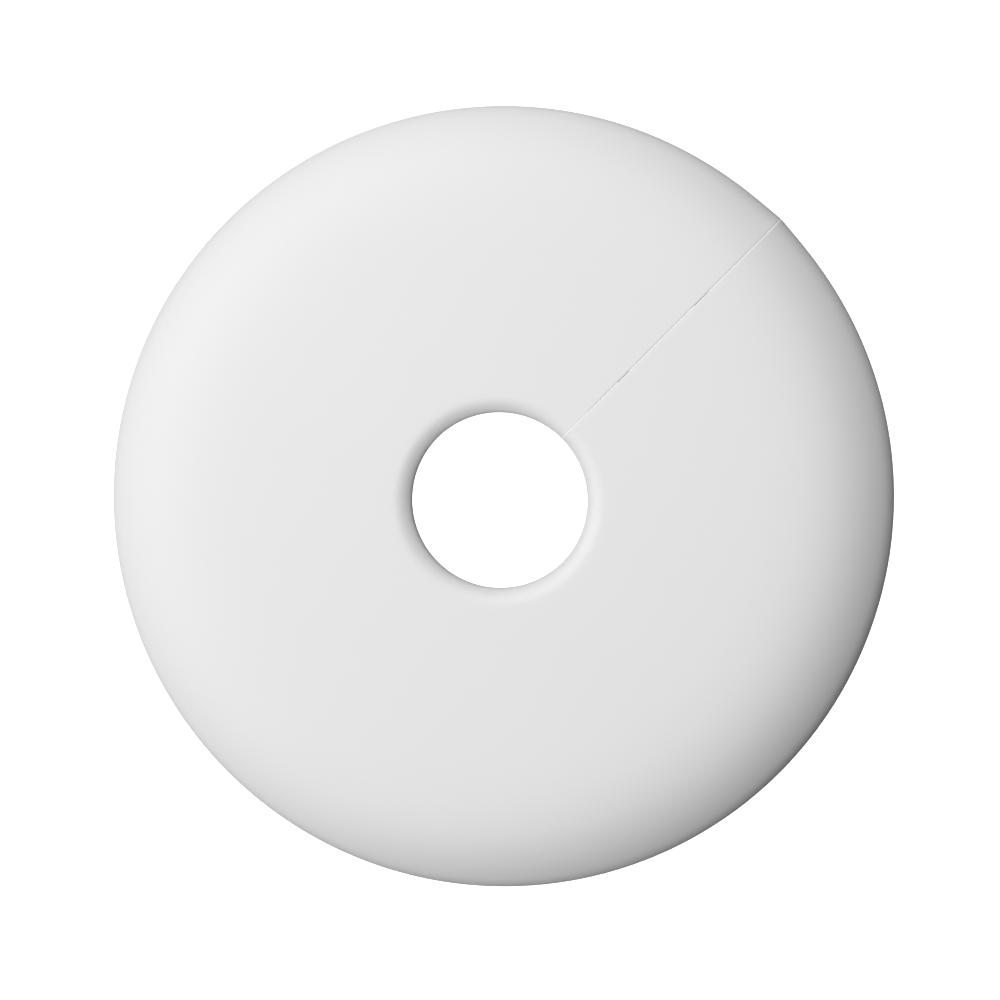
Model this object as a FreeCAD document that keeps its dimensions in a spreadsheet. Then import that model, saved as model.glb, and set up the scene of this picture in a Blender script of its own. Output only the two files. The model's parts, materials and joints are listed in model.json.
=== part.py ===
"""Hinged split escutcheon for a sprinkler pipe, in millimetres.

A domed ring in two moulded halves closes round the pipe. The halves turn on a
film-hinge profile keyed into the rim at -X and lock with a sprung pawl at +X.
The origin is on the bore axis in the rear plane, with +Z out of the domed face.
The fixed half lies at y > 0 and the swinging half at y < 0.
"""
import FreeCAD, Part
import math
import os
import Sketcher

doc = FreeCAD.newDocument("SplitEscutcheon")

# ---------------------------------------------------------------- dimensions
DIMENSIONS = [
    ("outer_radius", 49.5, "outline of the plate"),
    ("bore_radius", 11.1, "hole for a half-inch pipe, 22.2 mm across"),
    ("wall", 2.0, "thickness of the moulded shell"),
    ("lip_land", 2.5, "straight wall of the bore below the lip"),
    ("collar_floor", 6.5, "lower end of the wider collar behind the lip"),
    ("skirt_height", 2.5, "straight wall of the rim"),
    ("lip_radius", 2.2, "rounding of the lip into the bore"),
    ("brow_radius", 31.0, "first roll-off outside the lip"),
    ("brow_sweep", 2.0, "degrees"),
    ("crown_radius", 267.0, "nearly flat crown"),
    ("crown_sweep", 4.0, "degrees"),
    ("haunch_radius", 62.0, "where the crown begins to fall"),
    ("haunch_sweep", 4.8, "degrees"),
    ("shoulder_radius", 24.0, "shoulder of the dome"),
    ("shoulder_sweep", 9.7, "degrees"),
    ("flank_radius", 14.15, "flank of the dome"),
    ("flank_sweep", 31.5, "degrees"),
    ("seam_gap", 0.1, "gap between the halves on the opening side"),
    ("liner_thickness", 0.15, "release liner under the foam"),
    ("foam_thickness", 1.35, "foam ring between rim and ceiling"),
    ("foam_inner_radius", 42.8, "inside of the foam ring"),
    ("foam_inset", 0.6, "foam ring inside the outline"),
    ("foam_gap", 0.3, "gap between the two foam half rings"),
    ("rim_rib_inner", 43.0, "inside of the second rim wall"),
    ("rim_rib_thickness", 1.5, "thickness of the second rim wall"),
    ("rib_thickness", 1.4, "radial ribs"),
    ("rib_floor", 8.5, "height of the lower edge of ribs and flanges"),
    ("flange_thickness", 1.5, "flange along the split"),
    ("hinge_leaf", 0.6, "thickness of the hinge profile"),
    ("hinge_web", 0.3, "thickness of its flexing web"),
    ("hinge_web_width", 1.6, "width of its flexing web"),
    ("hinge_bead_radius", 0.6, "keyed beads of the hinge profile"),
    ("hinge_bead_offset", 2.0, "bead axis to the split plane"),
    ("hinge_bead_inset", 0.9, "bead axis inside the outline"),
    ("hinge_length", 2.3, "height of the hinge profile"),
    ("hinge_clearance", 0.1, "play of the hinge profile in its key slot"),
    ("pivot_place_x", 33.0, "latch pivot, towards the seam"),
    ("pivot_place_y", 9.0, "latch pivot, into the fixed half"),
    ("pivot_boss_radius", 3.2, "boss for the pivot screw"),
    ("pivot_boss_floor", 7.2, "lower face of the pivot boss"),
    ("screw_thread_radius", 1.2, "threaded end of the pivot screw"),
    ("screw_shoulder_radius", 1.6, "smooth shoulder that carries the pawl"),
    ("screw_head_radius", 2.6, "head of the pivot screw"),
    ("screw_head_thickness", 1.3, "head of the pivot screw"),
    ("screw_thread_length", 3.8, "thread inside the boss"),
    ("driver_slot_width", 0.8, "slot across the screw head"),
    ("driver_slot_depth", 0.6, "slot across the screw head"),
    ("pawl_floor", 4.8, "lower face of the pawl"),
    ("pawl_thickness", 2.2, "thickness of the pawl"),
    ("pawl_bore_clearance", 0.05, "running fit on the shoulder"),
    ("pawl_arm_width", 2.15, "width of the pawl arm"),
    ("pawl_hub_radius", 3.0, "hub round the pivot"),
    ("pawl_play", 0.2, "play between pawl and keeper pin"),
    ("claw_reach", 1.1, "claw past the keeper pin's axis"),
    ("claw_root", 1.0, "depth of the claw at the arm"),
    ("claw_nose", 3.7, "depth of the claw at its nose"),
    ("claw_nose_width", 0.5, "nose to the inside of the arm"),
    ("claw_tip", 0.7, "depth of the claw at its tip"),
    ("tail_width", 2.4, "finger tail of the pawl"),
    ("tail_length", 7.5, "finger tail of the pawl"),
    ("tail_rise", 3.0, "slant of the finger tail"),
    ("keeper_place_y", -3.0, "keeper pin, into the swinging half"),
    ("keeper_radius", 1.25, "keeper pin"),
    ("keeper_boss_radius", 2.8, "boss for the keeper pin"),
    ("keeper_boss_floor", 8.2, "lower face of the keeper boss"),
    ("keeper_floor", 4.4, "lower end of the keeper pin"),
    ("keeper_grip", 3.3, "length of the keeper pin inside its boss"),
    ("stop_radius", 1.2, "stop post beside the pawl arm"),
    ("stop_place_y", 3.6, "stop post, into the fixed half"),
    ("stop_play", 0.1, "play between stop post and pawl arm"),
    ("spring_thickness", 0.25, "leaf spring"),
    ("spring_width", 2.0, "leaf spring"),
    ("spring_tip_y", -2.0, "free end of the leaf spring"),
    ("spring_root_y", 15.5, "held end of the leaf spring"),
    ("spring_play", 0.05, "play beside the leaf spring"),
    ("anchor_radius", 1.9, "slotted post that holds the leaf spring"),
    ("dowel_radius", 1.0, "locating dowels"),
    ("dowel_place_x", 22.0, "dowels either side of the bore"),
    ("dowel_place_z", 10.8, "height of the dowels"),
    ("dowel_reach", 2.5, "length of a dowel past the split plane"),
    ("dowel_grip", 3.5, "length of a dowel inside the fixed half"),
    ("dowel_clearance", 0.2, "play of a dowel in its socket"),
    ("pad_length", 5.0, "thickening of the flange round a dowel"),
    ("pad_depth", 4.5, "thickening of the flange round a dowel"),
    ("tab_radius", 4.0, "finger tab of a release liner"),
]

sheet = doc.addObject("Spreadsheet::Sheet", "Dimensions")
for row, (alias, number, note) in enumerate(DIMENSIONS, start=1):
    sheet.set(f"A{row}", note)
    sheet.set(f"B{row}", str(number))
    sheet.setAlias(f"B{row}", alias)
doc.recompute()


def size(alias):
    """The value of one cell of the sheet."""
    return float(sheet.get(alias))


def bind(thing, **expressions):
    """Binds properties to expressions; a double underscore in a name stands for a dot."""
    for prop, text in expressions.items():
        thing.setExpression(prop.replace("__", "."), in_cells(text))
    return thing


def in_cells(text):
    """Spells out the sheet's name: @wall in an expression means Dimensions.wall."""
    return text.replace("@", "Dimensions.")


# ------------------------------------------------------- small object makers
RIM = "(@liner_thickness + @foam_thickness)"
SKIRT_TOP = f"({RIM} + @skirt_height)"
DEEP = 60.0     # longer than any part, for cutting tools and half spaces


def cylinder(name, radius, height, x="0", y="0", z="0"):
    """An upright cylinder; every argument is an expression."""
    made = doc.addObject("Part::Cylinder", name)
    return bind(made, Radius=radius, Height=height, Placement__Base__x=x, Placement__Base__y=y,
                Placement__Base__z=z)


def block(name, length, width, height, x, y, z):
    """A box from its low corner; every argument is an expression."""
    made = doc.addObject("Part::Box", name)
    return bind(made, Length=length, Width=width, Height=height, Placement__Base__x=x,
                Placement__Base__y=y, Placement__Base__z=z)


def fused(name, parts):
    made = doc.addObject("Part::MultiFuse", name)
    made.Shapes = parts
    return made


def common(name, first, second):
    made = doc.addObject("Part::Common", name)
    made.Base = first
    made.Tool = second
    return made


def cut(name, base, tools):
    """The base less every tool."""
    made = doc.addObject("Part::Cut", name)
    made.Base = base
    made.Tool = tools[0] if len(tools) == 1 else fused(f"{name}Tools", tools)
    return made


# ------------------------------------------------------------ dome section
ARCS = [
    ("lip_radius", None),
    ("brow_radius", "brow_sweep"),
    ("crown_radius", "crown_sweep"),
    ("haunch_radius", "haunch_sweep"),
    ("shoulder_radius", "shoulder_sweep"),
    ("flank_radius", "flank_sweep"),
]
QUARTER = 90.0
UPRIGHT = FreeCAD.Placement(FreeCAD.Vector(), FreeCAD.Rotation(FreeCAD.Vector(1, 0, 0), QUARTER))
EDGE_SWEEP = QUARTER - sum(size(sweep) for _, sweep in ARCS[1:])


def edge_radius():
    """Radius of the last arc, which brings the dome to a vertical tangent at the outline."""
    reach = size("bore_radius") + size("lip_radius")
    slope = 0.0
    for radius, sweep in ARCS[1:]:
        steeper = slope + size(sweep)
        reach += size(radius) * (math.sin(math.radians(steeper)) - math.sin(math.radians(slope)))
        slope = steeper
    return (size("outer_radius") - reach) / (1.0 - math.sin(math.radians(slope)))


def dome_drop():
    """Height from the crest down to the top of the skirt."""
    drop = 0.0
    slope = 0.0
    for radius, sweep in ARCS[1:]:
        steeper = slope + size(sweep)
        drop += size(radius) * (math.cos(math.radians(slope)) - math.cos(math.radians(steeper)))
        slope = steeper
    return drop + edge_radius() * math.cos(math.radians(slope))


def clockwise_arc(start, heading, radius, sweep):
    """An arc that turns right from a start point, and the point where it ends."""
    angle = math.radians(heading)
    centre = start + FreeCAD.Vector(math.sin(angle), -math.cos(angle), 0) * radius
    first = math.radians(heading - sweep + QUARTER)
    last = math.radians(heading + QUARTER)
    circle = Part.Circle(centre, FreeCAD.Vector(0, 0, 1), radius)
    end = centre + FreeCAD.Vector(math.cos(first), math.sin(first), 0) * radius
    return Part.ArcOfCircle(circle, first, last), end


def add_dome_chain(section, start, inward):
    """Adds the tangent arcs from the bore to the rim; inward is the expression of the offset."""
    offset = size("wall") if inward else 0.0
    heading = QUARTER
    point = start
    first = None
    before = None
    spans = [QUARTER] + [size(sweep) for _, sweep in ARCS[1:]]
    for (radius, sweep), span in zip(ARCS, spans):
        arc, point = clockwise_arc(point, heading, size(radius) - offset, span)
        number = section.addGeometry(arc, False)
        heading -= span
        held = section.addConstraint(Sketcher.Constraint("Radius", number, size(radius) - offset))
        section.setExpression(f"Constraints[{held}]", in_cells(f"@{radius}{inward}"))
        turned = section.addConstraint(Sketcher.Constraint("Angle", number, math.radians(span)))
        if sweep:
            section.setExpression(f"Constraints[{turned}]", in_cells(f"@{sweep} * 1 deg"))
        if before is None:
            first = number
        else:
            section.addConstraint(Sketcher.Constraint("Tangent", before, 1, number, 2))
        before = number
    arc, point = clockwise_arc(point, heading, edge_radius() - offset, EDGE_SWEEP)
    number = section.addGeometry(arc, False)
    section.addConstraint(Sketcher.Constraint("Tangent", before, 1, number, 2))
    return first, number, point


def place(section, number, end, x, y):
    """Ties one end of an edge to expressions for its distance from the axis and its height."""
    point = section.getPoint(number, end)
    for kind, measured, text in (("DistanceX", point.x, x), ("DistanceY", point.y, y)):
        if text:
            held = section.addConstraint(Sketcher.Constraint(kind, -1, 1, number, end, measured))
            section.setExpression(f"Constraints[{held}]", in_cells(text))


def line(section, start, end):
    return section.addGeometry(Part.LineSegment(start, end), False)


def shell_section():
    """Section of the shell in the XZ plane: two chains of arcs, joined by the rim and the bore."""
    section = doc.addObject("Sketcher::SketchObject", "ShellSection")
    section.Placement = UPRIGHT
    rim = size("liner_thickness") + size("foam_thickness")
    skirt_top = rim + size("skirt_height")
    lip = skirt_top + dome_drop() - size("lip_radius")
    floor = lip - size("lip_land")
    bore = size("bore_radius")
    wall = size("wall")
    outer = size("outer_radius")

    lip_arc, edge_arc, _ = add_dome_chain(section, FreeCAD.Vector(bore, lip, 0), "")
    lip_inner, edge_inner, _ = add_dome_chain(section, FreeCAD.Vector(bore + wall, lip, 0), " - @wall")
    skirt = line(section, FreeCAD.Vector(outer, skirt_top, 0), FreeCAD.Vector(outer, rim, 0))
    foot = line(section, FreeCAD.Vector(outer, rim, 0), FreeCAD.Vector(outer - wall, rim, 0))
    inside = line(section, FreeCAD.Vector(outer - wall, rim, 0), FreeCAD.Vector(outer - wall, skirt_top, 0))
    land = line(section, FreeCAD.Vector(bore, floor, 0), FreeCAD.Vector(bore, lip, 0))
    under = line(section, FreeCAD.Vector(bore + wall, floor, 0), FreeCAD.Vector(bore, floor, 0))
    back = line(section, FreeCAD.Vector(bore + wall, lip, 0), FreeCAD.Vector(bore + wall, floor, 0))

    smooth = [(edge_arc, 1, skirt, 1), (inside, 2, edge_inner, 1), (land, 2, lip_arc, 2),
              (back, 1, lip_inner, 2)]
    corners = [(skirt, 2, foot, 1), (foot, 2, inside, 1), (under, 2, land, 1), (back, 2, under, 1)]
    for kind, pairs in (("Tangent", smooth), ("Coincident", corners)):
        for pair in pairs:
            section.addConstraint(Sketcher.Constraint(kind, *pair))
    for upright in (skirt, inside, land, back):
        section.addConstraint(Sketcher.Constraint("Vertical", upright))
    for level in (foot, under):
        section.addConstraint(Sketcher.Constraint("Horizontal", level))
    place(section, skirt, 1, "@outer_radius", SKIRT_TOP)
    place(section, inside, 2, "@outer_radius - @wall", SKIRT_TOP)
    place(section, foot, 1, None, RIM)
    place(section, land, 2, "@bore_radius", None)
    place(section, back, 1, "@bore_radius + @wall", None)
    held = section.addConstraint(Sketcher.Constraint("DistanceY", land, 1, land, 2, size("lip_land")))
    section.setExpression(f"Constraints[{held}]", in_cells("@lip_land"))
    return section


def half_turn(name, section):
    """The section turned half way round the bore axis, to the +Y side."""
    made = doc.addObject("Part::Revolution", name)
    made.Source = section
    made.Axis = FreeCAD.Vector(0, 0, 1)
    made.Base = FreeCAD.Vector(0, 0, 0)
    made.Angle = 180.0
    made.Solid = True
    return made


crest_height = size("liner_thickness") + size("foam_thickness") + size("skirt_height") + dome_drop()


# ------------------------------------------------------------- half shells
RIB_ANGLES = (30, 60, 90, 120, 150)
HALF_TURN = FreeCAD.Rotation(FreeCAD.Vector(0, 0, 1), 180)
CAVITY = f"{DEEP}"      # height given to anything that reaches up to the dome and is trimmed by it


def cavity_section():
    """Section of the space under the dome, up to the middle of the wall."""
    section = doc.addObject("Sketcher::SketchObject", "CavitySection")
    section.Placement = UPRIGHT
    middle = size("wall") / 2
    rim = size("liner_thickness") + size("foam_thickness")
    skirt_top = rim + size("skirt_height")
    bore = size("bore_radius") + middle
    outer = size("outer_radius") - middle
    lip = crest_height - size("lip_radius")
    lip_arc, edge_arc, _ = add_dome_chain(section, FreeCAD.Vector(bore, lip, 0), " - @wall / 2")
    skirt = line(section, FreeCAD.Vector(outer, skirt_top, 0), FreeCAD.Vector(outer, rim, 0))
    foot = line(section, FreeCAD.Vector(outer, rim, 0), FreeCAD.Vector(bore, rim, 0))
    back = line(section, FreeCAD.Vector(bore, rim, 0), FreeCAD.Vector(bore, lip, 0))
    section.addConstraint(Sketcher.Constraint("Tangent", edge_arc, 1, skirt, 1))
    section.addConstraint(Sketcher.Constraint("Coincident", skirt, 2, foot, 1))
    section.addConstraint(Sketcher.Constraint("Coincident", foot, 2, back, 1))
    section.addConstraint(Sketcher.Constraint("Tangent", back, 2, lip_arc, 2))
    section.addConstraint(Sketcher.Constraint("Vertical", skirt))
    section.addConstraint(Sketcher.Constraint("Vertical", back))
    section.addConstraint(Sketcher.Constraint("Horizontal", foot))
    place(section, skirt, 1, "@outer_radius - @wall / 2", SKIRT_TOP)
    place(section, foot, 2, "@bore_radius + @wall / 2", RIM)
    return section


def half_ring(name, inner, outer, height, z):
    """Half of an upright ring, at y > 0."""
    disc = bind(cylinder(f"{name}Disc", outer, height, z=z), Angle="180")
    hole = cylinder(f"{name}Hole", inner, height, z=z)
    return cut(name, disc, [hole])


def radial_rib(name, angle):
    """A thin upright wall from the collar to the second rim wall."""
    length = "@rim_rib_inner - @bore_radius - @wall"
    rib = block(name, length, "@rib_thickness", CAVITY, "0", "0", "@rib_floor")
    rib.Placement.Rotation = FreeCAD.Rotation(FreeCAD.Vector(0, 0, 1), angle)
    start = "(@bore_radius + @wall * 3 / 4)"
    return bind(rib, Placement__Base__x=f"{start} * cos({angle}) + @rib_thickness / 2 * sin({angle})",
                Placement__Base__y=f"{start} * sin({angle}) - @rib_thickness / 2 * cos({angle})")


def split_flange(name, side):
    """The flange along the split on one side of the bore; side is 1 at the seam, -1 at the hinge."""
    length = "(@rim_rib_inner - @bore_radius)"
    start = "@bore_radius + @wall * 3 / 4"
    x = start if side > 0 else f"-({start}) - {length}"
    return block(name, length, "@flange_thickness", CAVITY, x, "0", "@rib_floor")


def dowel_pad(name, side):
    """Thickening of the flange round a dowel."""
    return block(name, "@pad_length", "@pad_depth", CAVITY, f"{side} * @dowel_place_x - @pad_length / 2", "0",
                 "@rib_floor")


def dowel(name, side, radius, start, length):
    """A cylinder along +Y on a dowel's axis."""
    made = cylinder(name, radius, length, x=f"{side} * @dowel_place_x", y=start, z="@dowel_place_z")
    made.Placement.Rotation = FreeCAD.Rotation(FreeCAD.Vector(1, 0, 0), -QUARTER)
    return made


def hinge_key(name):
    """The slot for the hinge profile, open at the rear rim and through the outline."""
    height = "@hinge_length + 2 * @hinge_clearance"
    mouth = block(f"{name}Mouth", "@hinge_leaf + 2 * @hinge_clearance", "2 * @hinge_bead_offset", height,
                  "-@outer_radius - @hinge_clearance", "-@hinge_bead_offset", RIM)
    beads = [cylinder(f"{name}Bead{number}", "@hinge_bead_radius + @hinge_clearance", height,
                      x="@hinge_bead_inset - @outer_radius", y=f"{side} * @hinge_bead_offset", z=RIM)
             for number, side in enumerate((1, -1))]
    return fused(name, [mouth] + beads)


def half_blank(prefix, swinging):
    """Shell, second rim wall, ribs and flanges of one half, with nothing drilled."""
    shell = half_turn(f"{prefix}Skin", shell_section_sketch)
    inside = half_turn(f"{prefix}Cavity", cavity_section_sketch)
    walls = [half_ring(f"{prefix}RimWall", "@rim_rib_inner", "@rim_rib_inner + @rim_rib_thickness", CAVITY,
                       RIM)]
    walls.append(half_ring(f"{prefix}Collar", "@bore_radius + @wall / 2", "@bore_radius + @wall", CAVITY,
                           "@collar_floor"))
    walls += [radial_rib(f"{prefix}Rib{angle}", angle) for angle in RIB_ANGLES]
    for side, place_name in ((1, "Seam"), (-1, "Hinge")):
        walls.append(split_flange(f"{prefix}{place_name}Flange", side))
        walls.append(dowel_pad(f"{prefix}{place_name}Pad", side))
    if swinging:
        walls.append(cylinder(f"{prefix}KeeperBoss", "@keeper_boss_radius", CAVITY, x="-@pivot_place_x",
                              y="-@keeper_place_y", z="@keeper_boss_floor"))
    else:
        walls.append(cylinder(f"{prefix}PivotBoss", "@pivot_boss_radius", CAVITY, x="@pivot_place_x",
                              y="@pivot_place_y", z="@pivot_boss_floor"))
        walls.append(cylinder(f"{prefix}StopPost", "@stop_radius", CAVITY,
                              x=f"{ARM_INNER} - @stop_play - @stop_radius", y="@stop_place_y", z="@pawl_floor"))
        walls.append(cylinder(f"{prefix}SpringPost", "@anchor_radius", CAVITY, x=SPRING_MIDDLE,
                              y="@spring_root_y - @anchor_radius / 2", z="@pawl_floor"))
    trimmed = common(f"{prefix}Walls", fused(f"{prefix}WallSet", walls), inside)
    return fused(f"{prefix}Blank", [shell, trimmed])


# The pawl's arm passes outside the keeper pin, which is as far from the bore as the pivot.
ARM_INNER = "(@pivot_place_x + @keeper_radius + @pawl_play)"
ARM_OUTER = f"({ARM_INNER} + @pawl_arm_width)"
CATCH = "(@keeper_place_y - @keeper_radius - @pawl_play)"
CLAW_END = "(@pivot_place_x - @claw_reach)"
SPRING_MIDDLE = f"({ARM_OUTER} + @spring_play + @spring_thickness / 2)"

shell_section_sketch = shell_section()
cavity_section_sketch = cavity_section()
hinge_slot = hinge_key("HingeKey")


def seam_cut(name):
    """The thin gap between the halves, from the bore to the outline on the seam side."""
    return block(name, "@outer_radius + @wall", "@seam_gap", CAVITY, "0", "-@seam_gap / 2", "0")


def fixed_half_shell():
    """Half at y > 0, which carries the latch and the dowels."""
    blank = half_blank("Fixed", False)
    thread = cylinder("FixedThreadHole", "@screw_thread_radius", "@screw_thread_length + @pawl_play",
                      x="@pivot_place_x", y="@pivot_place_y", z="@pivot_boss_floor")
    slot = block("FixedSpringSlot", "@spring_thickness + 2 * @spring_play", "2 * @anchor_radius",
                 "@spring_width + 2 * @spring_play",
                 f"{SPRING_MIDDLE} - @spring_thickness / 2 - @spring_play",
                 "@spring_root_y - 2 * @anchor_radius + @spring_play", "@pawl_floor")
    holes = [dowel(f"FixedDowelHole{number}", side, "@dowel_radius", "0", "@dowel_grip")
             for number, side in enumerate((1, -1))]
    return cut("fixed_half_shell", blank, [thread, slot, seam_cut("FixedSeam"), hinge_slot] + holes)


def swing_half_shell():
    """Half at y < 0, with the keeper pin's boss and the dowel sockets. Its blank is built at
    y > 0 and turned half way round the bore axis, so its boss is placed with both signs changed."""
    blank = half_blank("Swing", True)
    blank.Placement.Rotation = HALF_TURN
    pin_hole = cylinder("SwingKeeperHole", "@keeper_radius", "@keeper_grip", x="@pivot_place_x",
                        y="@keeper_place_y", z="@keeper_boss_floor")
    sockets = [dowel(f"SwingSocket{number}", side, "@dowel_radius + @dowel_clearance",
                     "-@dowel_reach - @dowel_clearance", "@dowel_reach + @dowel_clearance")
               for number, side in enumerate((1, -1))]
    return cut("swing_half_shell", blank, [pin_hole, seam_cut("SwingSeam"), hinge_slot] + sockets)


# ------------------------------------------------------------ hinge profile
def hinge_strip():
    """Extruded profile with a thin flexing web and a bead keyed into each half."""
    z = f"{RIM} + @hinge_clearance"
    leaf = block("HingeLeaf", "@hinge_leaf", "2 * @hinge_bead_offset", "@hinge_length", "-@outer_radius",
                 "-@hinge_bead_offset", z)
    groove = block("HingeGroove", "@hinge_leaf", "@hinge_web_width", "@hinge_length",
                   "@hinge_web - @outer_radius", "-@hinge_web_width / 2", z)
    web = cut("HingeWeb", leaf, [groove])
    beads = [cylinder(f"HingeBead{number}", "@hinge_bead_radius", "@hinge_length",
                      x="@hinge_bead_inset - @outer_radius", y=f"{side} * @hinge_bead_offset", z=z)
             for number, side in enumerate((1, -1))]
    return fused("hinge_strip", [web] + beads)


# -------------------------------------------------------------------- latch
def outline_plate(name, corners, z, thickness):
    """A flat plate padded from a closed outline whose corners are pairs of expressions."""
    body = doc.addObject("PartDesign::Body", name)
    section = body.newObject("Sketcher::SketchObject", f"{name}Outline")
    plane = [part for part in body.Origin.OriginFeatures if part.Role == "XY_Plane"][0]
    section.AttachmentSupport = (plane, [""])
    section.MapMode = "FlatFace"
    section.setExpression("AttachmentOffset.Base.z", in_cells(z))
    points = [FreeCAD.Vector(value(x), value(y), 0) for x, y in corners]
    edges = [line(section, start, end) for start, end in zip(points, points[1:] + points[:1])]
    for before, after in zip(edges, edges[1:] + edges[:1]):
        section.addConstraint(Sketcher.Constraint("Coincident", before, 2, after, 1))
    for edge, (x, y) in zip(edges, corners):
        place(section, edge, 1, x, y)
    pad = body.newObject("PartDesign::Pad", f"{name}Pad")
    pad.Profile = section
    pad.setExpression("Length", in_cells(thickness))
    return body


def value(text):
    """The present value of an expression, in millimetres."""
    return float(sheet.evalExpression(in_cells(text)))


def latch_pawl():
    """Hub on the pivot, an arm across the seam with a ramped claw, and a finger tail."""
    arm = outline_plate("PawlArm", [
        (f"{ARM_INNER}", "@pivot_place_y"),
        (f"{ARM_OUTER}", "@pivot_place_y"),
        (f"{ARM_OUTER}", f"{CATCH} - @claw_root"),
        (f"{ARM_INNER} + @claw_nose_width", f"{CATCH} - @claw_nose"),
        (CLAW_END, f"{CATCH} - @claw_tip"),
        (CLAW_END, CATCH),
        (f"{ARM_INNER}", CATCH),
    ], "@pawl_floor", "@pawl_thickness")
    tail = outline_plate("PawlTail", [
        ("@pivot_place_x", "@pivot_place_y - @tail_width / 2"),
        ("@pivot_place_x", "@pivot_place_y + @tail_width"),
        ("@pivot_place_x - @tail_length", "@pivot_place_y + @tail_width + @tail_rise"),
        ("@pivot_place_x - @tail_length", "@pivot_place_y + @tail_rise"),
    ], "@pawl_floor", "@pawl_thickness")
    hub = cylinder("PawlHub", "@pawl_hub_radius", "@pawl_thickness", x="@pivot_place_x", y="@pivot_place_y",
                   z="@pawl_floor")
    bore = cylinder("PawlBore", "@screw_shoulder_radius + @pawl_bore_clearance", "@pawl_thickness",
                    x="@pivot_place_x", y="@pivot_place_y", z="@pawl_floor")
    return cut("latch_pawl", fused("PawlBlank", [arm, tail, hub]), [bore])


def latch_pivot_screw():
    """Shoulder screw whose thread sits in the pivot boss."""
    x = "@pivot_place_x"
    y = "@pivot_place_y"
    seat = "(@pawl_floor - @pawl_bore_clearance)"
    thread = cylinder("ScrewThread", "@screw_thread_radius", "@screw_thread_length", x, y, "@pivot_boss_floor")
    shoulder = cylinder("ScrewShoulder", "@screw_shoulder_radius", f"@pivot_boss_floor - {seat}", x, y, seat)
    head = cylinder("ScrewHead", "@screw_head_radius", "@screw_head_thickness", x, y,
                    f"{seat} - @screw_head_thickness")
    slot = block("ScrewSlot", "2 * @screw_head_radius", "@driver_slot_width", "@driver_slot_depth",
                 f"{x} - @screw_head_radius", f"{y} - @driver_slot_width / 2",
                 f"{seat} - @screw_head_thickness")
    return cut("latch_pivot_screw", fused("ScrewBlank", [thread, shoulder, head]), [slot])


def latch_spring():
    """Straight leaf held in the slotted post, lying along the outside of the pawl's arm."""
    return block("latch_spring", "@spring_thickness", "@spring_root_y - @spring_tip_y", "@spring_width",
                 f"{SPRING_MIDDLE} - @spring_thickness / 2", "@spring_tip_y", "@pawl_floor + @spring_play")


def keeper_pin():
    """Dowel in the swinging half that the pawl's claw holds."""
    return cylinder("keeper_pin", "@keeper_radius", "@keeper_boss_floor + @keeper_grip - @keeper_floor",
                    x="@pivot_place_x", y="@keeper_place_y", z="@keeper_floor")


def locating_dowels():
    """Two equal dowels pressed into the fixed half, one each side of the bore."""
    length = "@dowel_reach + @dowel_grip"
    pair = [dowel(f"LocatingDowel{number}", side, "@dowel_radius", "-@dowel_reach", length)
            for number, side in enumerate((1, -1))]
    return fused("locating_dowels", pair)


# --------------------------------------------------------------- rear seal
def seal_half(name, thickness, z, swinging, tab):
    """Half of a flat ring behind the rim, with a small gap to the other half."""
    ring = half_ring(f"{name}Ring", "@foam_inner_radius", "@outer_radius - @foam_inset", thickness, z)
    if tab:
        finger = cylinder(f"{name}Tab", "@tab_radius", thickness, y="@foam_inner_radius", z=z)
        ring = fused(f"{name}Tabbed", [ring, finger])
    if swinging:
        ring.Placement.Rotation = HALF_TURN
    gap = block(f"{name}Gap", f"{2 * DEEP}", "@foam_gap", thickness, f"-{DEEP}", "-@foam_gap / 2", z)
    return cut(name, ring, [gap])


nodes = [
    fixed_half_shell(),
    swing_half_shell(),
    hinge_strip(),
    latch_pawl(),
    latch_pivot_screw(),
    latch_spring(),
    keeper_pin(),
    locating_dowels(),
    seal_half("fixed_foam_ring", "@foam_thickness", "@liner_thickness", False, False),
    seal_half("swing_foam_ring", "@foam_thickness", "@liner_thickness", True, False),
    seal_half("fixed_release_liner", "@liner_thickness", "0", False, True),
    seal_half("swing_release_liner", "@liner_thickness", "0", True, True),
]
doc.recompute()

# ------------------------------------------------------------------ export
for thing in doc.Objects:
    if {"Invalid", "Error"} & set(thing.State):
        raise RuntimeError(f"{thing.Label} failed: {thing.State}")
os.makedirs("parts", exist_ok=True)
for node in nodes:
    if node.Shape.isNull() or not node.Shape.isValid() or not node.Shape.Solids:
        raise RuntimeError(f"{node.Label} has no valid solid")
    node.Shape.exportStep(f"parts/{node.Label}.step")
    print(f"{node.Label:24s} solids {len(node.Shape.Solids)}  volume {node.Shape.Volume:9.2f} mm3")
print(f"crest at {crest_height:.3f} mm, edge radius {edge_radius():.3f} mm")
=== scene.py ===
"""Looks of a hinged split escutcheon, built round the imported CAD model, in metres.

The domed half shells, the foam rings, the release liners, the hinge profile and the
leaf spring are rebuilt here in finer meshes on their CAD bodies. The pawl, the screw
and the pins stay the CAD's own, with softened edges and their own materials.
"""

import json
import math

import bmesh
import bpy
from mathutils import Matrix, Vector


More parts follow.
